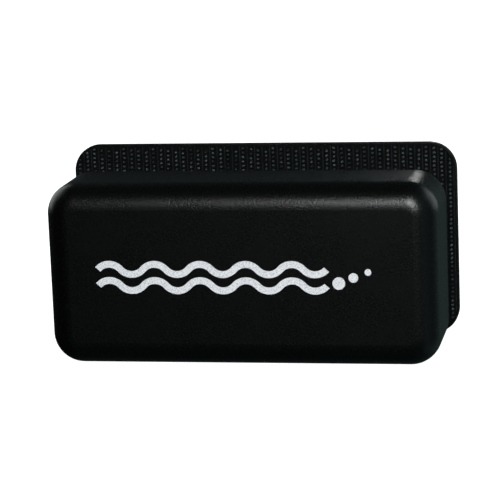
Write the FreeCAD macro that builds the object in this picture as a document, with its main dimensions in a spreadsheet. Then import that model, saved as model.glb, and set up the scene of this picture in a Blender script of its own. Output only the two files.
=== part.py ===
import FreeCAD, Part
import Sketcher
import os
import re

# A magnetic glass cleaner: an outer half for the hand and an inner half for the wet side of the
# pane. X runs along the blocks, Y through the pane and Z up. The outer half is at -Y. Both halves
# stand on z = 0, and the origin is under the middle of the whole. Millimetres.

SIZES = {
    # the outer block
    "block_width": 120.0,
    "block_height": 56.0,
    "block_depth": 26.0,
    "block_corner": 9.5,
    "crown_radius": 7.5,
    # the inner half: a rim wider and taller than the outer block, and a cap set in from it
    "rim_side": 1.4,
    "rim_rise": 5.2,
    "rim_corner": 8.5,
    "rim_thickness": 1.6,
    "rim_overhang": 5.5,
    "inner_depth": 24.2,
    "inner_corner": 8.0,
    "inner_crown": 6.0,
    # both caps and the covers that close them
    "shell_wall": 2.5,
    "cover_thickness": 2.4,
    "cover_lip": 1.2,
    "cover_clearance": 0.1,
    "boss_height": 2.0,
    "gasket_thickness": 0.6,
    "gasket_inset": 0.3,
    # what meets the glass
    "pane_gap": 16.0,
    "felt_thickness": 2.2,
    "felt_inset": 0.3,
    "hook_thickness": 1.8,
    "hook_inset": 0.5,
    "adhesive_thickness": 0.3,
    "adhesive_inset": 1.2,
    # the magnets and what holds them
    "magnet_thickness": 12.0,
    "magnet_end_room": 5.2,
    "magnet_side_room": 5.4,
    "magnet_separation": 8.0,
    "magnet_bevel": 0.6,
    "pocket_clearance": 0.15,
    "carrier_height": 9.0,
    "carrier_web": 1.6,
    "collar_wall": 1.5,
    "rib_thickness": 1.6,
    "carrier_clearance": 0.4,
    "yoke_thickness": 3.0,
    "yoke_margin": 1.0,
    "yoke_corner": 2.0,
    "foam_inset": 5.0,
    "foam_corner": 3.0,
    # the print on the crown: two stripes of waves and a rising row of bubbles
    "print_thickness": 0.15,
    "wave_length": 14.0,
    "wave_angle": 96.0,
    "stripe_width": 2.1,
    "stripe_spacing": 5.0,
    "print_start": -43.4,
    "bubble_start": 30.2,
    "bubble_step": 4.4,
    "bubble_rise": 1.7,
    "bubble_radius": 1.9,
    "bubble_shrink": 0.45,
}
WAVE_COUNT = 5
BUBBLE_COUNT = 3

# Lengths worked out from the sheet, as formulas.
RIM_WIDTH = "(block_width + 2 * rim_side)"
RIM_HEIGHT = "(block_height + rim_rise)"
INNER_WIDTH = f"({RIM_WIDTH} - 2 * rim_overhang)"
INNER_HEIGHT = f"({RIM_HEIGHT} - 2 * rim_overhang)"
MAGNET_LENGTH = (
    f"(({INNER_WIDTH} - 2 * shell_wall - 2 * magnet_end_room - magnet_separation) / 2)"
)
MAGNET_HEIGHT = f"({INNER_HEIGHT} - 2 * shell_wall - 2 * magnet_side_room)"
MAGNET_PLACE = f"(({MAGNET_LENGTH} + magnet_separation) / 2)"
YOKE_LENGTH = f"(2 * {MAGNET_LENGTH} + magnet_separation + 2 * yoke_margin)"
YOKE_HEIGHT = f"({MAGNET_HEIGHT} + 2 * yoke_margin)"
LIP_INSET = "(shell_wall - cover_lip)"

# Outlines: a width, a height and a corner radius.
OUTER_OUTLINE = ("block_width", "block_height", "block_corner")
INNER_OUTLINE = (INNER_WIDTH, INNER_HEIGHT, "inner_corner")
RIM_OUTLINE = (RIM_WIDTH, RIM_HEIGHT, "rim_corner")

# Levels in each half: how far a piece's near face is from the glass.
OUTER_COVER_LEVEL = "(felt_thickness + adhesive_thickness)"
OUTER_STACK_LEVEL = f"({OUTER_COVER_LEVEL} + cover_thickness)"
OUTER_CROWN_LEVEL = f"({OUTER_COVER_LEVEL} + block_depth)"
INNER_COVER_LEVEL = "(hook_thickness + adhesive_thickness)"
INNER_GASKET_LEVEL = f"({INNER_COVER_LEVEL} + rim_thickness)"
INNER_SHELL_LEVEL = f"({INNER_GASKET_LEVEL} + gasket_thickness)"
INNER_STACK_LEVEL = f"({INNER_GASKET_LEVEL} + boss_height)"
INNER_CROWN_LEVEL = f"({INNER_SHELL_LEVEL} + inner_depth)"

# The whole is centred on y = 0, so the middle of the gap is half the halves' difference away.
GAP_CENTRE = f"(({OUTER_CROWN_LEVEL} + print_thickness - {INNER_CROWN_LEVEL}) / 2)"

TINY = 1e-4

doc = FreeCAD.newDocument("glass_cleaner")
sheet = doc.addObject("Spreadsheet::Sheet", "sizes")
for row, (alias, value) in enumerate(SIZES.items(), start=1):
    sheet.set(f"A{row}", alias)
    sheet.set(f"B{row}", str(value))
    sheet.setAlias(f"B{row}", alias)
doc.recompute()

node_shapes = {}


def bind(thing, path, formula):
    """Ties a property to a formula, in which each word that names a cell is read from the sheet."""
    named = re.sub(
        r"[a-z_]+", lambda word: "sizes." + word[0] if word[0] in SIZES else word[0], formula
    )
    thing.setExpression(path, named)


def base_plane(body):
    return next(f for f in body.Origin.OriginFeatures if f.Role == "XY_Plane")


def rectangle(body, name, width, height, level="0", across="0"):
    """A sketched rectangle parallel to the glass, centred `across` from the half's middle."""
    sketch = body.newObject("Sketcher::SketchObject", name)
    sketch.AttachmentSupport = (base_plane(body), [""])
    sketch.MapMode = "FlatFace"
    half_w, half_h = 20.0, 10.0
    corners = [
        FreeCAD.Vector(x, y, 0)
        for x, y in ((-half_w, -half_h), (half_w, -half_h), (half_w, half_h), (-half_w, half_h))
    ]
    for here, there in zip(corners, corners[1:] + corners[:1]):
        sketch.addGeometry(Part.LineSegment(here, there))
    for side in range(4):
        sketch.addConstraint(Sketcher.Constraint("Coincident", side, 2, (side + 1) % 4, 1))
    for side, direction in enumerate(("Horizontal", "Vertical") * 2):
        sketch.addConstraint(Sketcher.Constraint(direction, side))
    sketch.addConstraint(Sketcher.Constraint("Symmetric", 0, 1, 1, 2, -1, 1))
    for alias, kind, side, size, formula in (
        ("Across", "DistanceX", 0, 2 * half_w, width),
        ("Up", "DistanceY", 1, 2 * half_h, height),
    ):
        index = sketch.addConstraint(Sketcher.Constraint(kind, side, 1, side, 2, size))
        sketch.renameConstraint(index, alias)
        bind(sketch, f"Constraints.{alias}", formula)
    bind(sketch, "AttachmentOffset.Base.x", across)
    bind(sketch, "AttachmentOffset.Base.z", level)
    return sketch


def pad(body, name, width, height, thickness, level="0", across="0"):
    """Adds a block of the given thickness, growing away from the glass."""
    feature = body.newObject("PartDesign::Pad", name)
    feature.Profile = rectangle(body, name + "_outline", width, height, level, across)
    bind(feature, "Length", thickness)
    doc.recompute()
    return feature


def pocket(body, name, width, height, depth, level="0", across="0"):
    """Cuts a block out, going away from the glass."""
    volume = body.Shape.Volume
    feature = body.newObject("PartDesign::Pocket", name)
    feature.Profile = rectangle(body, name + "_outline", width, height, level, across)
    feature.Reversed = True
    bind(feature, "Length", depth)
    doc.recompute()
    assert body.Shape.Volume < volume - TINY, f"{body.Label}: {name} cuts nothing"
    return feature


def dress(body, kind, name, path, picks, formula):
    """Rounds or bevels the picked edges or faces of the body's last feature."""
    base = body.Tip
    feature = body.newObject("PartDesign::" + kind, name)
    feature.Base = (base, picks)
    bind(feature, path, formula)
    doc.recompute()
    return feature


def uprights(shape, inside):
    """The straight edges that run away from the glass, round the outside or in an opening."""
    box = shape.BoundBox
    names = []
    for number, edge in enumerate(shape.Edges, start=1):
        ends = [v.Point for v in edge.Vertexes]
        if len(ends) < 2 or (ends[1] - ends[0]).cross(FreeCAD.Vector(0, 0, 1)).Length > TINY:
            continue
        middle = (ends[0] + ends[1]) / 2
        outermost = (
            min(box.XMax - middle.x, middle.x - box.XMin) < TINY
            or min(box.YMax - middle.y, middle.y - box.YMin) < TINY
        )
        if outermost != inside and sharp(shape, edge):
            names.append(f"Edge{number}")
    return names


def sharp(shape, edge):
    """True where the two faces that meet at an edge are square to each other."""
    point = edge.valueAt((edge.FirstParameter + edge.LastParameter) / 2)
    normals = []
    for face in shape.ancestorsOfType(edge, Part.Face):
        u, v = face.Surface.parameter(point)
        normals.append(face.normalAt(u, v))
    return len(normals) == 2 and abs(normals[0].dot(normals[1])) < 0.5


def flat_face(shape, towards, highest):
    """The name of the flat face that looks `towards` +1 or -1 and lies highest or lowest."""
    found = []
    for number, face in enumerate(shape.Faces, start=1):
        if isinstance(face.Surface, Part.Plane):
            if face.normalAt(0, 0).z * towards > 1 - TINY:
                found.append((face.CenterOfMass.z, f"Face{number}"))
    return max(found)[1] if highest else min(found)[1]


def round_uprights(body, name, radius, inside=False):
    return dress(body, "Fillet", name, "Radius", uprights(body.Shape, inside), radius)


def new_body(label):
    body = doc.addObject("PartDesign::Body", label)
    body.Label = label
    return body


def stand(thing, half, level, across="0"):
    """Stands a piece on edge in its half, its near face at the given level from the glass."""
    outwards = {"outer": "-", "inner": "+"}[half]
    turn = FreeCAD.Rotation(FreeCAD.Vector(1, 0, 0), 90)
    if half == "inner":
        turn = FreeCAD.Rotation(FreeCAD.Vector(0, 0, 1), 180).multiply(turn)
    thing.Placement = FreeCAD.Placement(FreeCAD.Vector(), turn)
    height = {"outer": "block_height", "inner": RIM_HEIGHT}[half]
    bind(thing, "Placement.Base.x", across)
    bind(thing, "Placement.Base.y", f"{GAP_CENTRE} {outwards} (pane_gap / 2 + {level})")
    bind(thing, "Placement.Base.z", f"{height} / 2")
    node_shapes[thing.Label] = thing
    return thing


def slab(label, width, height, corner, thickness):
    """A flat plate with round corners."""
    body = new_body(label)
    pad(body, label + "_plate", width, height, thickness)
    round_uprights(body, label + "_corners", corner)
    return body


def cap(label, width, height, depth, corner, crown, seat_inset=None, seat_depth=None):
    """A hollow moulded cap, open towards the glass, with a round edge to its crown.

    With a seat, its mouth is cut back so that a cover can lie in it.
    """
    body = new_body(label)
    pad(body, label + "_block", width, height, depth)
    inside = (f"{width} - 2 * shell_wall", f"{height} - 2 * shell_wall")
    pocket(body, label + "_hollow", *inside, f"{depth} - shell_wall")
    round_uprights(body, label + "_hollow_corners", f"{corner} - shell_wall", inside=True)
    floor = flat_face(body.Shape, -1, highest=True)
    crown_inside = f"{crown} - shell_wall"
    dress(body, "Fillet", label + "_hollow_crown", "Radius", [floor], crown_inside)
    if seat_inset:
        seat = (f"{width} - 2 * {seat_inset}", f"{height} - 2 * {seat_inset}")
        pocket(body, label + "_seat", *seat, seat_depth)
        round_uprights(body, label + "_seat_corners", f"{corner} - {seat_inset}", inside=True)
    round_uprights(body, label + "_corners", corner)
    top = flat_face(body.Shape, +1, highest=True)
    dress(body, "Fillet", label + "_crown", "Radius", [top], crown)
    return body


def ring(label, outline, hole, thickness):
    """A flat gasket. The outline and the hole are each a width, a height and a corner radius."""
    body = new_body(label)
    pad(body, label + "_plate", *outline[:2], thickness)
    pocket(body, label + "_hole", *hole[:2], thickness)
    round_uprights(body, label + "_hole_corners", hole[2], inside=True)
    round_uprights(body, label + "_corners", outline[2])
    return body


def inset_outline(width, height, corner, inset):
    """A round-cornered outline moved inwards all round."""
    return (f"({width} - 2 * {inset})", f"({height} - 2 * {inset})", f"({corner} - {inset})")


def outer_case():
    outline = OUTER_OUTLINE
    shell = cap(
        "outer_shell",
        *outline[:2],
        "block_depth",
        "block_corner",
        "crown_radius",
        seat_inset=LIP_INSET,
        seat_depth="cover_thickness + gasket_thickness",
    )
    stand(shell, "outer", OUTER_COVER_LEVEL)
    cover = inset_outline(*outline, f"({LIP_INSET} + cover_clearance)")
    stand(slab("outer_cover", *cover, "cover_thickness"), "outer", OUTER_COVER_LEVEL)
    hole = inset_outline(*outline, "shell_wall")
    stand(ring("outer_gasket", cover, hole, "gasket_thickness"), "outer", OUTER_STACK_LEVEL)


def inner_case():
    outline = INNER_OUTLINE
    shell = cap("inner_shell", *outline[:2], "inner_depth", "inner_corner", "inner_crown")
    stand(shell, "inner", INNER_SHELL_LEVEL)
    cover = slab("inner_cover", *RIM_OUTLINE, "rim_thickness")
    boss = inset_outline(*outline, "(shell_wall + cover_clearance)")
    pad(cover, "boss", *boss[:2], "boss_height", level="rim_thickness")
    round_uprights(cover, "boss_corners", boss[2], inside=True)
    stand(cover, "inner", INNER_COVER_LEVEL)
    edge = inset_outline(*outline, "gasket_inset")
    hole = inset_outline(*outline, "shell_wall")
    stand(ring("inner_gasket", edge, hole, "gasket_thickness"), "inner", INNER_GASKET_LEVEL)


def pads():
    """The felt and the hook tape that meet the glass, and the adhesive under each."""
    for half, label, thickness, outline, inset in (
        ("outer", "felt_pad", "felt_thickness", OUTER_OUTLINE, "felt_inset"),
        ("inner", "hook_pad", "hook_thickness", RIM_OUTLINE, "hook_inset"),
    ):
        facing = slab(f"{half}_{label}", *inset_outline(*outline, inset), thickness)
        stand(facing, half, "0")
        under = inset_outline(*outline, "adhesive_inset")
        stand(slab(f"{half}_adhesive", *under, "adhesive_thickness"), half, thickness)


def carrier(half, cavity):
    """The moulded frame that keeps the two magnets in place: a web, two collars and a rib."""
    outline = inset_outline(*cavity, "carrier_clearance")
    body = slab(f"{half}_magnet_frame", *outline, "carrier_web")
    pad(body, "rib", outline[0], "rib_thickness", "carrier_height")
    window = (
        f"({MAGNET_LENGTH} + 2 * pocket_clearance)",
        f"({MAGNET_HEIGHT} + 2 * pocket_clearance)",
    )
    collar = [f"{length} + 2 * collar_wall" for length in window]
    sides = (("left", "-"), ("right", ""))
    for side, sign in sides:
        pad(body, f"{side}_collar", *collar, "carrier_height", across=sign + MAGNET_PLACE)
    for side, sign in sides:
        pocket(body, f"{side}_window", *window, "carrier_height", across=sign + MAGNET_PLACE)
    return body


def magnet(label):
    """A plated block magnet with bevelled edges."""
    body = new_body(label)
    pad(body, label + "_block", MAGNET_LENGTH, MAGNET_HEIGHT, "magnet_thickness")
    edges = [f"Edge{number}" for number in range(1, len(body.Shape.Edges) + 1)]
    dress(body, "Chamfer", label + "_bevel", "Size", edges, "magnet_bevel")
    return body


def works(half, stack, crown, outline):
    """The pieces inside a cap, from its cover to its crown."""
    stand(carrier(half, inset_outline(*outline, "shell_wall")), half, stack)
    for side, sign in (("left", "-"), ("right", "")):
        stand(magnet(f"{half}_magnet_{side}"), half, stack, across=sign + MAGNET_PLACE)
    yoke_level = f"({stack} + magnet_thickness)"
    yoke = slab(f"{half}_yoke", YOKE_LENGTH, YOKE_HEIGHT, "yoke_corner", "yoke_thickness")
    stand(yoke, half, yoke_level)
    foam_level = f"({yoke_level} + yoke_thickness)"
    foam = slab(
        f"{half}_foam",
        f"{YOKE_LENGTH} - 2 * foam_inset",
        f"{YOKE_HEIGHT} - 2 * foam_inset",
        "foam_corner",
        f"{crown} - shell_wall - {foam_level}",
    )
    stand(foam, half, foam_level)


def wave_stripe(label):
    """A stripe of equal arcs that bend up and down in turn, each a slice of a ring."""
    body = new_body(label)
    radius = "(wave_length / 4 / sin(wave_angle * 1deg / 2))"
    drop = f"({radius} * cos(wave_angle * 1deg / 2))"
    for number in range(2 * WAVE_COUNT):
        side, first = (("-", 90), ("", -90))[number % 2]
        for kind, edge in (("Additive", "+"), ("Subtractive", "-")):
            arc = body.newObject(f"PartDesign::{kind}Cylinder", f"{label}_{kind}_{number + 1}")
            arc.AttachmentSupport = (base_plane(body), [""])
            arc.MapMode = "FlatFace"
            bind(arc, "Radius", f"{radius} {edge} stripe_width / 2")
            bind(arc, "Height", "print_thickness")
            bind(arc, "Angle", "wave_angle")
            bind(arc, "AttachmentOffset.Base.x", f"{number} * wave_length / 2")
            bind(arc, "AttachmentOffset.Base.y", side + drop)
            bind(arc, "AttachmentOffset.Rotation.Angle", f"({first} - wave_angle / 2) * 1deg")
            doc.recompute()
    return body


def emblem():
    """The silver print: generic waves and bubbles."""
    pieces = []
    for number in range(2):
        stripe = wave_stripe(f"stripe_{number + 1}")
        bind(stripe, "Placement.Base.x", "print_start + wave_length / 4")
        bind(stripe, "Placement.Base.y", f"({number} - 0.5) * stripe_spacing")
        pieces.append(stripe)
    for number in range(BUBBLE_COUNT):
        bubble = doc.addObject("Part::Cylinder", f"bubble_{number + 1}")
        bind(bubble, "Radius", f"bubble_radius - {number} * bubble_shrink")
        bind(bubble, "Height", "print_thickness")
        bind(bubble, "Placement.Base.x", f"bubble_start + {number} * bubble_step")
        bind(bubble, "Placement.Base.y", f"({number} - 1) * bubble_rise")
        pieces.append(bubble)
    group = doc.addObject("Part::Compound", "outer_emblem")
    group.Label = "outer_emblem"
    group.Links = pieces
    return group


def check_document():
    """Stops on any object that failed to build and on any node that isn't a valid solid."""
    for thing in doc.Objects:
        if {"Invalid", "Error"} & set(thing.State):
            raise RuntimeError(f"{thing.Label} did not build: {thing.State}")
    for label, thing in node_shapes.items():
        if thing.Shape.isNull() or not thing.Shape.isValid() or not thing.Shape.Solids:
            raise RuntimeError(f"{label} has no valid solid")


outer_case()
inner_case()
pads()
works("outer", OUTER_STACK_LEVEL, OUTER_CROWN_LEVEL, OUTER_OUTLINE)
works("inner", INNER_STACK_LEVEL, INNER_CROWN_LEVEL, INNER_OUTLINE)
stand(emblem(), "outer", OUTER_CROWN_LEVEL)
doc.recompute()
check_document()

os.makedirs("parts", exist_ok=True)
for label, thing in node_shapes.items():
    thing.Shape.exportStep(f"parts/{label}.step")
    box = thing.Shape.BoundBox
    print(
        f"{label}: {len(thing.Shape.Solids)} solid(s), {thing.Shape.Volume:.0f} mm3, "
        f"x {box.XMin:.2f}..{box.XMax:.2f} y {box.YMin:.2f}..{box.YMax:.2f} "
        f"z {box.ZMin:.2f}..{box.ZMax:.2f}"
    )
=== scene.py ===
import math
import random

import bmesh
import bpy
from mathutils import Matrix, Vector, noise


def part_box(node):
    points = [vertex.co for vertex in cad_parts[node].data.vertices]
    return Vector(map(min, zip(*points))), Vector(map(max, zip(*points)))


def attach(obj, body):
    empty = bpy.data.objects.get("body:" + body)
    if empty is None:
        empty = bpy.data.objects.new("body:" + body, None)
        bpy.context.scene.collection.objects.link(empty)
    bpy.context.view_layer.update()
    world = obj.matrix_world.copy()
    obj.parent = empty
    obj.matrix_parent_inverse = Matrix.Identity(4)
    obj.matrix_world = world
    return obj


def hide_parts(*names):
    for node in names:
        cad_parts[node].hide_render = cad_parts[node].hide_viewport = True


# A magnetic glass cleaner, in metres. The outer half is at -Y, the inner half at +Y, and both
# stand on z = 0. Tape, felt and foam are modelled here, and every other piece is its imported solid.

MM = 0.001
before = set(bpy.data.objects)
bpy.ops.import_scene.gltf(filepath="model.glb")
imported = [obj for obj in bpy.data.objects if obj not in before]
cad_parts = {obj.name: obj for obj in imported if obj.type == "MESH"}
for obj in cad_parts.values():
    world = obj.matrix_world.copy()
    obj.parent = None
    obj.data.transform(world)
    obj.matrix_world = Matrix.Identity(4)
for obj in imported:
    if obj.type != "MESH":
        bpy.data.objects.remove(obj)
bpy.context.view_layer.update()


# ---------------------------------------------------------------- materials


class Nodes:
    """A Principled material whose node tree is built up by name."""

    def __init__(self, name, **sockets):
        self.material = bpy.data.materials.new(name)
        self.material.use_nodes = True
        self.tree = self.material.node_tree
        self.shader = self.tree.nodes["Principled BSDF"]
        for socket, value in sockets.items():
            self.shader.inputs[socket.replace("_", " ")].default_value = value
        self.place = self.tree.nodes.new("ShaderNodeTexCoord").outputs["Object"]

    def add(self, kind, **settings):
        node = self.tree.nodes.new("ShaderNode" + kind)
        for key, value in settings.items():
            setattr(node, key, value)
        return node

    def link(self, source, target):
        self.tree.links.new(source, target)

    def stretched(self, scale):
        """Object coordinates, scaled differently along each axis."""
        node = self.add("Mapping")
        node.inputs["Scale"].default_value = scale
        self.link(self.place, node.inputs["Vector"])
        return node.outputs["Vector"]

    def noise(self, scale, detail=2.0, roughness=0.5, place=None):
        node = self.add("TexNoise")
        node.inputs["Scale"].default_value = scale
        node.inputs["Detail"].default_value = detail
        node.inputs["Roughness"].default_value = roughness
        self.link(place or self.place, node.inputs["Vector"])
        return node.outputs["Fac"]

    def wave(self, scale, direction, distortion):
        node = self.add("TexWave", bands_direction=direction)
        node.inputs["Scale"].default_value = scale
        node.inputs["Distortion"].default_value = distortion
        self.link(self.place, node.inputs["Vector"])
        return node.outputs["Fac"]

    def cells(self, scale):
        node = self.add("TexVoronoi")
        node.inputs["Scale"].default_value = scale
        self.link(self.place, node.inputs["Vector"])
        return node.outputs["Distance"]

    def ramp(self, source, *stops):
        """A colour for each position along the source's value."""
        node = self.add("ValToRGB")
        points = node.color_ramp.elements
        while len(points) < len(stops):
            points.new(0.5)
        for point, (position, colour) in zip(points, stops):
            point.position = position
            point.color = (*colour, 1.0)
        self.link(source, node.inputs["Fac"])
        return node.outputs["Color"]

    def spread(self, source, low, high, start=0.0, end=1.0):
        """The source's value from start to end, made to run from low to high."""
        node = self.add("MapRange")
        for socket, value in zip(
            ("From Min", "From Max", "To Min", "To Max"), (start, end, low, high)
        ):
            node.inputs[socket].default_value = value
        self.link(source, node.inputs["Value"])
        return node.outputs["Result"]

    def combined(self, operation, first, second):
        """Two values added or multiplied, as the operation says."""
        node = self.add("Math", operation=operation)
        self.link(first, node.inputs[0])
        self.link(second, node.inputs[1])
        return node.outputs["Value"]

    def colour(self, source):
        self.link(source, self.shader.inputs["Base Color"])

    def roughness(self, source):
        self.link(source, self.shader.inputs["Roughness"])

    def bump(self, source, strength, depth):
        node = self.add("Bump")
        node.inputs["Strength"].default_value = strength
        node.inputs["Distance"].default_value = depth
        self.link(source, node.inputs["Height"])
        self.link(node.outputs["Normal"], self.shader.inputs["Normal"])


def grey(value, tint=(1.0, 1.0, 1.0)):
    return tuple(value * part for part in tint)


def satin_abs():
    """Black moulded ABS: a fine spark-eroded grain, a few bright specks and slight handling wear."""
    look = Nodes("satin_black_abs", Specular_IOR_Level=0.3)
    grain = look.noise(2000.0, 3.0, 0.62)
    handled = look.noise(90.0, 4.0)
    look.colour(look.ramp(grain, (0.30, grey(0.0005)), (0.60, grey(0.0012)), (0.76, grey(0.008))))
    patchy = look.spread(handled, 0.265, 0.28, 0.35, 0.65)
    look.roughness(look.combined("ADD", patchy, look.spread(grain, -0.04, 0.06)))
    look.bump(grain, 0.9, 0.08 * MM)
    return look.material


def silver_print():
    """Screen-printed silver ink: metal flakes, thin in places."""
    look = Nodes("silver_print", Metallic=0.1, Specular_IOR_Level=0.5)
    flakes = look.noise(3400.0, 3.0, 0.7)
    colours = ((0.30, grey(0.34)), (0.45, grey(0.74, (0.98, 0.99, 1.03))), (0.62, grey(0.92)))
    look.colour(look.ramp(flakes, *colours))
    look.roughness(look.spread(flakes, 0.62, 0.42, 0.3, 0.7))
    look.bump(flakes, 0.35, 0.02 * MM)
    return look.material


def nylon(name, low, high, rough, gloss):
    """Black nylon yarn, paler and smoother in random patches, and a little uneven along its length.
    The pale colour is painted highlight that stands in for the yarn's glints; the dark colour is its
    own black.
    """
    look = Nodes(name, Specular_IOR_Level=gloss)
    patchy = look.noise(330.0, 1.0, 0.5)
    uneven = look.noise(1400.0, 3.0, 0.6)
    # Painted highlight: the pale end of this ramp stands in for glints on the yarn.
    look.colour(look.ramp(patchy, (0.36, low), (0.66, high)))
    look.roughness(look.spread(patchy, rough + 0.15, rough, 0.35, 0.65))
    look.bump(uneven, 0.25, 0.03 * MM)
    return look.material


def tape_weave():
    """The tape's ground: fine warp yarns crossed by the weft."""
    look = Nodes("tape_weave", Specular_IOR_Level=0.08)
    warp = look.wave(650.0, "X", 0.6)
    weft = look.wave(420.0, "Z", 0.6)
    weave = look.combined("MULTIPLY", warp, weft)
    dark, light = (0.0004, 0.0006, 0.0007), (0.0026, 0.0040, 0.0042)
    look.colour(look.ramp(weave, (0.15, dark), (0.85, light)))
    look.roughness(look.spread(weave, 0.72, 0.5))
    look.bump(weave, 0.8, 0.12 * MM)
    return look.material


def felt_cloth(name, low, high):
    """Pressed felt: matted fibres that catch the light differently."""
    look = Nodes(name, Specular_IOR_Level=0.2, Sheen_Weight=0.03, Sheen_Roughness=0.6)
    mat = look.noise(800.0, 5.0, 0.7)
    clumps = look.noise(160.0, 2.0)
    look.colour(look.ramp(look.combined("MULTIPLY", mat, clumps), (0.12, low), (0.42, high)))
    look.roughness(look.spread(mat, 0.95, 0.8))
    look.bump(mat, 0.9, 0.25 * MM)
    return look.material


def foam_cells():
    """Closed-cell foam with its cells cut open."""
    look = Nodes("foam_cells", Specular_IOR_Level=0.3)
    cell = look.cells(900.0)
    look.colour(look.ramp(cell, (0.05, grey(0.03)), (0.6, grey(0.10, (1.0, 1.0, 1.05)))))
    look.roughness(look.spread(cell, 0.9, 0.75))
    look.bump(cell, 0.9, 0.3 * MM)
    return look.material


def rubber():
    look = Nodes("gasket_rubber", Specular_IOR_Level=0.4)
    bloom = look.noise(420.0, 4.0)
    look.colour(look.ramp(bloom, (0.35, grey(0.018)), (0.7, grey(0.045, (1.0, 0.99, 0.96)))))
    look.roughness(look.spread(bloom, 0.55, 0.75))
    look.bump(bloom, 0.3, 0.05 * MM)
    return look.material


def adhesive():
    """Acrylic foam adhesive, milky, with small trapped bubbles."""
    look = Nodes("adhesive_layer", Specular_IOR_Level=0.5)
    bubbles = look.cells(1200.0)
    look.colour(look.ramp(bubbles, (0.1, (0.42, 0.41, 0.35)), (0.5, (0.60, 0.59, 0.52))))
    look.roughness(look.spread(bubbles, 0.35, 0.6))
    look.bump(bubbles, 0.3, 0.05 * MM)
    return look.material


def carrier_plastic():
    """Natural, unpigmented moulding: off-white, slightly mottled by the flow."""
    look = Nodes("carrier_plastic", Specular_IOR_Level=0.5)
    flow = look.noise(70.0, 4.0, 0.6)
    grain = look.noise(2200.0, 2.0)
    look.colour(look.ramp(flow, (0.3, (0.50, 0.49, 0.45)), (0.7, (0.62, 0.61, 0.57))))
    look.roughness(look.spread(grain, 0.4, 0.6))
    look.bump(grain, 0.25, 0.03 * MM)
    return look.material


def nickel():
    """Nickel plating over a sintered block, with faint rub marks."""
    look = Nodes("nickel_plate", Metallic=1.0)
    marks = look.noise(40.0, 5.0, 0.65, look.stretched((1.0, 9.0, 14.0)))
    look.colour(look.ramp(marks, (0.3, (0.56, 0.53, 0.48)), (0.7, (0.68, 0.65, 0.60))))
    look.roughness(look.spread(marks, 0.16, 0.34, 0.3, 0.7))
    look.bump(marks, 0.12, 0.02 * MM)
    return look.material


def rolled_steel():
    """Zinc-plated mild steel with the long marks of rolling."""
    look = Nodes("rolled_steel", Metallic=1.0)
    lines = look.noise(60.0, 6.0, 0.7, look.stretched((1.0, 40.0, 40.0)))
    look.colour(look.ramp(lines, (0.3, (0.36, 0.37, 0.38)), (0.7, (0.55, 0.56, 0.57))))
    look.roughness(look.spread(lines, 0.28, 0.48, 0.3, 0.7))
    look.bump(lines, 0.3, 0.03 * MM)
    return look.material


def coat(node, material):
    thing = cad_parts[node]
    for slot in thing.material_slots:
        slot.link = "OBJECT"
        slot.material = material


abs_plastic = satin_abs()
seal_rubber, glue, natural = rubber(), adhesive(), carrier_plastic()
plating, steel = nickel(), rolled_steel()
for half in ("outer", "inner"):
    for piece, material in (
        ("shell", abs_plastic),
        ("cover", abs_plastic),
        ("gasket", seal_rubber),
        ("adhesive", glue),
        ("magnet_frame", natural),
        ("magnet_left", plating),
        ("magnet_right", plating),
        ("yoke", steel),
    ):
        coat(f"{half}_{piece}", material)
coat("outer_emblem", silver_print())


# ---------------------------------------------------------------- soft pieces


def mesh_piece(name, mesh, material, body):
    """A smooth piece that rides on a body and takes its finish from a slot."""
    mesh.materials.append(material)
    piece = bpy.data.objects.new(name, mesh)
    bpy.context.scene.collection.objects.link(piece)
    for polygon in mesh.polygons:
        polygon.use_smooth = True
    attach(piece, body)
    return piece


def new_piece(name, points, faces, material, body):
    mesh = bpy.data.meshes.new(name)
    mesh.from_pydata(points, [], faces)
    mesh.validate()
    return mesh_piece(name, mesh, material, body)


def remeshed(node, voxel):
    """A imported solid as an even, closed mesh: its points, normals and faces."""
    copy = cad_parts[node].copy()
    copy.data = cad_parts[node].data.copy()
    copy.name = "scratch"
    for key in list(copy.keys()):
        del copy[key]
    copy.parent = None
    copy.matrix_world = Matrix.Identity(4)
    bpy.context.scene.collection.objects.link(copy)
    modifier = copy.modifiers.new("even", "REMESH")
    modifier.mode = "VOXEL"
    modifier.voxel_size = voxel
    graph = bpy.context.evaluated_depsgraph_get()
    even = bpy.data.meshes.new_from_object(copy.evaluated_get(graph))
    points = [v.co.copy() for v in even.vertices]
    normals = [v.normal.copy() for v in even.vertices]
    faces = [list(f.vertices) for f in even.polygons]
    bpy.data.objects.remove(copy)
    return points, normals, faces


COARSE, FINE = 140.0, 900.0  # scales of the noise for lumps and for nap, per metre
SOFT_EDGE = 0.45  # of a pad's thickness
TUCK = 0.35  # of that edge


def matted(node, name, material, body, voxel, lumps, nap):
    """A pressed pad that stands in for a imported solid: soft edges and an uneven surface."""
    points, normals, faces = remeshed(node, voxel)
    low, high = (Vector(corner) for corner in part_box(node))
    soft = SOFT_EDGE * (high.y - low.y)
    shaped = []
    for point, normal in zip(points, normals):
        coarse = noise.noise(point * COARSE) * lumps
        fine = noise.noise(point * FINE + Vector((3, 7, 1))) * nap
        moved = point + normal * (coarse + fine - nap)
        sideways = max(0.0, 1.0 - min(high.y - point.y, point.y - low.y) / soft)
        edge = min(high.x - abs(point.x), point.z - low.z, high.z - point.z)
        if edge < soft:
            inwards = Vector((-point.x, 0, (low.z + high.z) / 2 - point.z)).normalized()
            moved += inwards * sideways**2 * soft * TUCK * (1 - edge / soft)
        moved.y = min(max(moved.y, low.y), high.y)
        shaped.append(moved)
    piece = new_piece(name, shaped, faces, material, body)
    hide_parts(node)
    return piece


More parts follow.
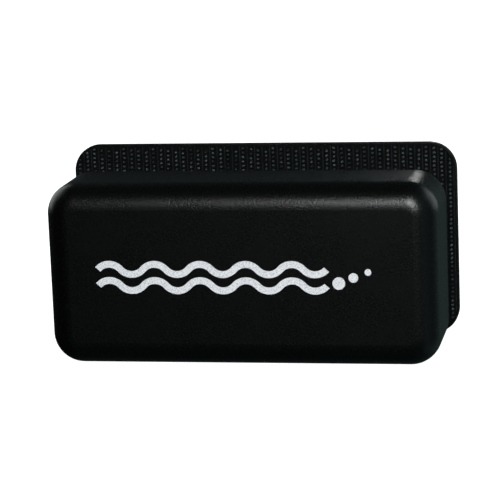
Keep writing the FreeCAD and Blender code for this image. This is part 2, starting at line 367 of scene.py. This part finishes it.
def tube(points, radius, sides, across):
    """A closed tube round a path: its points and faces. The path never runs along across."""
    rings, faces = [], []
    for i, point in enumerate(points):
        ahead = (points[min(i + 1, len(points) - 1)] - points[max(i - 1, 0)]).normalized()
        side = ahead.cross(across).normalized()
        other = ahead.cross(side)
        for k in range(sides):
            turn = 2 * math.pi * k / sides
            rings.append(point + (side * math.cos(turn) + other * math.sin(turn)) * radius)
    for i in range(len(points) - 1):
        for k in range(sides):
            after = (k + 1) % sides
            faces.append(
                [i * sides + k, i * sides + after, (i + 1) * sides + after, (i + 1) * sides + k]
            )
    last = (len(points) - 1) * sides
    faces.append(list(range(sides - 1, -1, -1)))
    faces.append([last + k for k in range(sides)])
    return rings, faces


def gather(parts):
    """Joins lists of points and faces into one."""
    points, faces = [], []
    for more_points, more_faces in parts:
        start = len(points)
        points += more_points
        faces += [[start + i for i in face] for face in more_faces]
    return points, faces


def half_width(z, width, low, high, corner):
    """How far a round-cornered outline reaches either side of its middle at height z."""
    into = max(0.0, low + corner - z, z - high + corner)
    return width / 2 - corner + math.sqrt(max(0.0, corner**2 - into**2))


# The hook tape: a woven ground, heavier yarns that run up it, and hooks in columns between them.
tape_low, tape_high = (Vector(corner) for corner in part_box("inner_hook_pad"))
TAPE_CORNER = 8.0 * MM
CORNER_STEPS = 20
COLUMN, ROW = 2.42 * MM, 1.37 * MM  # from one column, and one row, to the next
GROUND = 0.45 * MM  # thickness
GROUND_WAVE = 0.05 * MM  # how far its yarns rise and dip
GROUND_ROW, GROUND_COLUMN = 0.42 * MM, 1.0 * MM
FINE_STEPS = 4  # across one ground column, on the face only
MERGE = 0.002 * MM
RIB_RADIUS, RIB_LIFT, RIB_STEP = 0.13 * MM, 0.12 * MM, 0.3 * MM
RIB_TWIST, RIB_WANDER = 0.9 * MM, 0.035 * MM
RIB_END, RIB_INSET = 0.2 * MM, 0.3 * MM
STEM, BEND, HOOK_RADIUS = 0.92 * MM, 0.20 * MM, 0.175 * MM
CURL, CURL_STEPS = math.radians(205), 5
HOOK_END, HOOK_INSET = 0.9 * MM, 0.7 * MM
FEET = (-0.18 * MM, 0.18 * MM)  # the two hooks of a pair, either side of the column's middle
LEANS = (-0.2, -0.75, -0.1, -0.45)  # radians, for four columns in turn
MISSING = 0.02  # share of the hooks
tape_width = tape_high.x - tape_low.x
tape_back = tape_high.y


def ground_height(x, z):
    """The ground's thickness: warp yarns that rise and dip over the weft."""
    warp = math.sin(2 * math.pi * x / COLUMN * 3)
    weft = math.sin(2 * math.pi * z / ROW)
    return GROUND + GROUND_WAVE * warp * (0.6 + 0.4 * weft)


def ground_heights():
    """The heights of the ground's rows, closest together at its lower and upper edges."""
    rises = [
        TAPE_CORNER * (1 - math.cos(math.pi / 2 * k / CORNER_STEPS))
        for k in range(CORNER_STEPS + 1)
    ]
    middle = tape_high.z - tape_low.z - 2 * TAPE_CORNER
    rows = round(middle / GROUND_ROW)
    heights = [tape_low.z + rise for rise in rises]
    heights += [tape_low.z + TAPE_CORNER + middle * k / rows for k in range(1, rows)]
    heights += [tape_high.z - rise for rise in reversed(rises)]
    return heights


def tape_ground():
    """The ground as a closed mesh: a wavy face and a flat back, joined round the rim."""
    heights = ground_heights()
    columns = FINE_STEPS * round(tape_width / GROUND_COLUMN)
    mesh = bmesh.new()
    grid = {}
    for face, back in (("front", False), ("back", True)):
        for j, z in enumerate(heights):
            reach = half_width(z, tape_width, tape_low.z, tape_high.z, TAPE_CORNER)
            for i in range(0, columns + 1, FINE_STEPS if back else 1):
                x = max(-reach, min(reach, -tape_width / 2 + tape_width * i / columns))
                y = tape_back if back else tape_back - ground_height(x, z)
                grid[face, i, j] = mesh.verts.new((x, y, z))
    for j in range(len(heights) - 1):
        for i in range(columns):
            corners = [grid["front", i, j], grid["front", i + 1, j]]
            corners += [grid["front", i + 1, j + 1], grid["front", i, j + 1]]
            mesh.faces.new(corners)
        for i in range(0, columns, FINE_STEPS):
            after = i + FINE_STEPS
            corners = [grid["back", i, j], grid["back", i, j + 1]]
            corners += [grid["back", after, j + 1], grid["back", after, j]]
            mesh.faces.new(corners)
    bmesh.ops.remove_doubles(mesh, verts=mesh.verts[:], dist=MERGE)
    bmesh.ops.dissolve_degenerate(mesh, edges=mesh.edges[:], dist=MERGE)
    rims = [e for e in mesh.edges if e.is_boundary]
    bmesh.ops.bridge_loops(mesh, edges=rims)
    bmesh.ops.recalc_face_normals(mesh, faces=mesh.faces[:])
    made = bpy.data.meshes.new("inner_tape_ground")
    mesh.to_mesh(made)
    mesh.free()
    return made


def tape_ribs():
    """Heavier twisted yarns, one on each side of every column of hooks."""
    parts = []
    count = int(tape_width / COLUMN) + 1
    for rib in range(count):
        x = (rib - (count - 1) / 2) * COLUMN
        path = []
        z = tape_low.z + RIB_END
        while z < tape_high.z - RIB_END:
            reach = half_width(z, tape_width, tape_low.z, tape_high.z, TAPE_CORNER)
            if abs(x) < reach - RIB_INSET:
                twist = 2 * math.pi * z / RIB_TWIST + rib
                wander = Vector((math.cos(twist), 0.6 * math.sin(twist), 0)) * RIB_WANDER
                path.append(Vector((x, tape_back - GROUND - RIB_LIFT, z)) + wander)
            z += RIB_STEP
        if len(path) > 1:
            parts.append(tube(path, RIB_RADIUS, 6, Vector((0, 1, 0))))
    return gather(parts)


def hook(x, z, lean, chance):
    """One woven-in filament: a short stem that curls over, in the direction of its lean."""
    way = Vector((math.sin(lean), 0, math.cos(lean)))
    foot = Vector((x, tape_back - GROUND * 0.6, z))
    stem = STEM * chance.uniform(0.93, 1.05)
    top = foot + Vector((0, -stem, 0))
    points = [foot, top]
    for k in range(1, CURL_STEPS + 1):
        angle = CURL * k / CURL_STEPS
        over = way * BEND * (1 - math.cos(angle))
        points.append(top + over + Vector((0, -BEND * math.sin(angle), 0)))
    # Nearly square to the plane that the hook curls in.
    across = Vector((way.z, 0, -way.x)) + Vector((0.01, 0.02, 0))
    return tube(points, HOOK_RADIUS, 5, across)


def tape_hooks(leaning):
    """Every hook that leans one way, in pairs: every second of their columns is half a row higher."""
    chance = random.Random(41 + leaning)
    parts = []
    count = int(tape_width / COLUMN)
    for column in range(count):
        if (column % 2 == 0) != (leaning > 0):
            continue
        middle = (column - (count - 1) / 2) * COLUMN
        shift = 0.0 if column % 4 < 2 else ROW / 2
        z = tape_low.z + HOOK_END + shift
        while z < tape_high.z - HOOK_END:
            reach = half_width(z, tape_width, tape_low.z, tape_high.z, TAPE_CORNER) - HOOK_INSET
            lean = LEANS[column % 4] + chance.uniform(-0.2, 0.2)
            if leaning < 0:
                lean += math.pi
            across = Vector((math.cos(lean), 0, -math.sin(lean)))
            for side in FEET:
                foot = Vector((middle, 0, z)) + across * side
                x = foot.x + chance.uniform(-0.04, 0.04) * MM
                if abs(x) < reach and chance.random() > MISSING:
                    at = foot.z + chance.uniform(-0.05, 0.05) * MM
                    parts.append(hook(x, at, lean + chance.uniform(-0.1, 0.1), chance))
            z += ROW
    return gather(parts)


ground = mesh_piece(
    "inner_tape_ground", tape_ground(), tape_weave(), "inner_half"
)
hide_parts("inner_hook_pad")
# The second colour of each yarn is painted highlight, standing in for its glints; the first is the
# yarn's own black.
filament = nylon("hook_nylon", (0.003, 0.0045, 0.005), (0.072, 0.093, 0.098), 0.22, 0.6)
yarn = nylon("rib_yarn", (0.003, 0.005, 0.0055), (0.013, 0.018, 0.019), 0.5, 0.15)
rib_points, rib_faces = tape_ribs()
ribs = new_piece("inner_tape_ribs", rib_points, rib_faces, yarn, "inner_half")
for name, leaning in (("inner_tape_hooks_up", 1), ("inner_tape_hooks_down", -1)):
    hook_points, hook_faces = tape_hooks(leaning)
    piece = new_piece(name, hook_points, hook_faces, filament, "inner_half")

# The felt, with loose fibres on its face.
black_felt = felt_cloth("black_felt", (0.0050, 0.0053, 0.0056), (0.026, 0.027, 0.029))
felt = matted(
    "outer_felt_pad", "outer_felt", black_felt, "outer_half",
    voxel=0.5 * MM, lumps=0.05 * MM, nap=0.05 * MM,
)
felt_low, felt_high = (Vector(corner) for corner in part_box("outer_felt_pad"))


FELT_CORNER = 9.2 * MM
FIBRES, FIBRE_RADIUS, FIBRE_STEPS = 4200, 0.022 * MM, 3
FIBRE_DEPTH = 0.12 * MM  # how far under the face its ends lie
FIBRE_EDGE, FIBRE_INSET = 0.3 * MM, 0.4 * MM


def loose_fibres(count):
    """Short curled fibres that rise from the felt's face and go back into it."""
    chance = random.Random(7)
    parts = []
    width = felt_high.x - felt_low.x
    for _ in range(count):
        z = chance.uniform(felt_low.z + FIBRE_EDGE, felt_high.z - FIBRE_EDGE)
        reach = half_width(z, width, felt_low.z, felt_high.z, FELT_CORNER) - FIBRE_INSET
        x = chance.uniform(-reach, reach)
        y = felt_high.y - FIBRE_DEPTH
        heading = chance.uniform(0, 2 * math.pi)
        length = chance.uniform(0.8, 2.2) * MM
        rise = chance.uniform(0.12, 0.32) * MM
        curl = chance.uniform(-1.2, 1.2)
        points = []
        for k in range(FIBRE_STEPS + 1):
            share = k / FIBRE_STEPS
            angle = heading + curl * share
            along = Vector((math.cos(angle), 0, math.sin(angle))) * length * share
            points.append(Vector((x, y + rise * math.sin(math.pi * share), z)) + along)
        within = [abs(p.x) < width / 2 - FIBRE_EDGE and felt_low.z < p.z < felt_high.z for p in points]
        if all(within):
            parts.append(tube(points, FIBRE_RADIUS, 3, Vector((0.2, 1, 0.1))))
    return gather(parts)


fibre_points, fibre_faces = loose_fibres(FIBRES)
fibres = new_piece(
    "outer_felt_fibres", fibre_points, fibre_faces, black_felt, "outer_half"
)

# The foam fillers, with uneven sides.
cells = foam_cells()
for half in ("outer", "inner"):
    filler = matted(
        f"{half}_foam", f"{half}_foam_filler", cells, f"{half}_half",
        voxel=0.9 * MM, lumps=0.25 * MM, nap=0.08 * MM,
    )


# ---------------------------------------------------------------- floor, light and camera


def emitter(name, colour, strength):
    material = bpy.data.materials.new(name)
    material.use_nodes = True
    tree = material.node_tree
    shader = tree.nodes["Principled BSDF"]
    shader.inputs["Base Color"].default_value = (*colour, 1.0)
    shader.inputs["Roughness"].default_value = 0.9
    shader.inputs["Emission Color"].default_value = (*colour, 1.0)
    shader.inputs["Emission Strength"].default_value = strength
    return material


def stage_mesh(name, points, faces, material):
    mesh = bpy.data.meshes.new(name)
    mesh.from_pydata(points, [], faces)
    mesh.materials.append(material)
    thing = bpy.data.objects.new(name, mesh)
    bpy.context.scene.collection.objects.link(thing)
    return thing


FAR = 3.0
BACKDROP_RADIUS, BACKDROP_SIDES = 0.98 * FAR, 48
BACKDROP_FOOT, BACKDROP_TOP = -0.01, 2.8
PALE = (0.97, 0.97, 0.97)
floor = stage_mesh(
    "floor",
    [(-FAR, -FAR, 0), (FAR, -FAR, 0), (FAR, FAR, 0), (-FAR, FAR, 0)],
    [(0, 1, 2, 3)],
    emitter("pale_floor", PALE, 1.0),
)
# The object is so dark that a white floor would drown it in reflections, so the floor neither
# shows in the object's gloss nor lights it. A studio does this with black flags.
floor.visible_glossy = False
floor.visible_diffuse = False

world = bpy.data.worlds.new("studio")
bpy.context.scene.world = world
world.use_nodes = True
sky = world.node_tree.nodes["Background"]
# The room is dark on the left, and brightest in a band on the right.
direction = world.node_tree.nodes.new("ShaderNodeTexCoord")
axes = world.node_tree.nodes.new("ShaderNodeSeparateXYZ")
rightwards = world.node_tree.nodes.new("ShaderNodeMapRange")
rightwards.inputs["From Min"].default_value = -1.0
room = world.node_tree.nodes.new("ShaderNodeValToRGB")
ROOM = (
    (0.20, (0.006, 0.008, 0.008)),
    (0.41, (0.030, 0.041, 0.043)),
    (0.60, (0.036, 0.056, 0.056)),
    (0.74, (0.050, 0.080, 0.080)),
    (0.84, (0.170, 0.270, 0.260)),
    (1.00, (0.080, 0.120, 0.120)),
)
for _ in ROOM[2:]:
    room.color_ramp.elements.new(0.5)
for stop, (position, colour) in zip(room.color_ramp.elements, ROOM):
    stop.position = position
    stop.color = (*colour, 1.0)
for source, target in (
    (direction.outputs["Generated"], axes.inputs["Vector"]),
    (axes.outputs["X"], rightwards.inputs["Value"]),
    (rightwards.outputs["Result"], room.inputs["Fac"]),
    (room.outputs["Color"], sky.inputs["Color"]),
):
    world.node_tree.links.new(source, target)


def drum(radius, low, high, sides):
    """A closed-topped drum round the object: its points and faces."""
    points, faces = [], []
    for z in (low, high):
        for k in range(sides):
            turn = math.tau * k / sides
            points.append((math.cos(turn) * radius, math.sin(turn) * radius, z))
    points.append((0, 0, high))
    for k in range(sides):
        after = (k + 1) % sides
        faces.append((k, after, sides + after, sides + k))
    for k in range(sides):
        faces.append((sides + k, sides + (k + 1) % sides, 2 * sides))
    return points, faces


backdrop = stage_mesh(
    "backdrop",
    *drum(BACKDROP_RADIUS, BACKDROP_FOOT, BACKDROP_TOP, BACKDROP_SIDES),
    emitter("pale_backdrop", PALE, 1.0),
)
for flag in ("visible_glossy", "visible_diffuse", "visible_shadow", "visible_transmission"):
    setattr(backdrop, flag, False)


def softbox(name, place, target, size, power, colour=(1.0, 1.0, 1.0)):
    """A rectangular lamp at place that faces the target."""
    lamp = bpy.data.lights.new(name, "AREA")
    lamp.shape = "RECTANGLE"
    lamp.size, lamp.size_y = size
    lamp.energy = power
    lamp.color = colour
    thing = bpy.data.objects.new(name, lamp)
    thing.location = place
    # Seen by the camera, a lamp would show in the views that look past it.
    thing.visible_camera = False
    thing.rotation_euler = (Vector(target) - Vector(place)).to_track_quat("-Z", "Y").to_euler()
    bpy.context.scene.collection.objects.link(thing)


middle = Vector((0.0, -0.02, 0.035))
softbox("key", (0.145, -0.82, 0.38), middle, (0.12, 0.34), 7.6, (0.97, 0.985, 1.0))
softbox("corner", (0.024, 0.90, 0.277), middle, (0.065, 0.08), 0.12)
softbox("back_left", (-1.05, 0.68, 0.50), middle, (1.1, 1.0), 5.0, (0.95, 1.0, 1.0))
softbox("back_right", (1.05, 0.66, 0.50), middle, (1.1, 1.0), 4.0, (0.95, 1.0, 1.0))

# The camera looks from the right and a little above. It is aimed just right of the outer block's
# middle and above it, at the depth where the block's rounded edge meets its sides.
DISTANCE, LENS = 0.7, 166.9
CROWN = 7.5 * MM
azimuth, elevation, roll = (math.radians(angle) for angle in (10.88, 11.53, -2.18))
aim = Vector((2.25 * MM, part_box("outer_shell")[0][1] + CROWN, 34.9 * MM))
ahead = Vector(
    (
        -math.sin(azimuth) * math.cos(elevation),
        math.cos(azimuth) * math.cos(elevation),
        -math.sin(elevation),
    )
)
level = Vector((math.cos(azimuth), math.sin(azimuth), 0.0))
upward = level.cross(ahead)
right = level * math.cos(roll) + upward * math.sin(roll)
up = right.cross(ahead)
lens = bpy.data.cameras.new("camera")
lens.sensor_width = 36.0
lens.lens = LENS
lens.clip_start, lens.clip_end = 0.01, 100.0
camera = bpy.data.objects.new("camera", lens)
turned = Matrix((right, up, -ahead)).transposed().to_4x4()
camera.matrix_world = Matrix.Translation(aim - ahead * DISTANCE) @ turned
bpy.context.scene.collection.objects.link(camera)
bpy.context.scene.camera = camera
bpy.context.scene.view_settings.view_transform = "Standard"
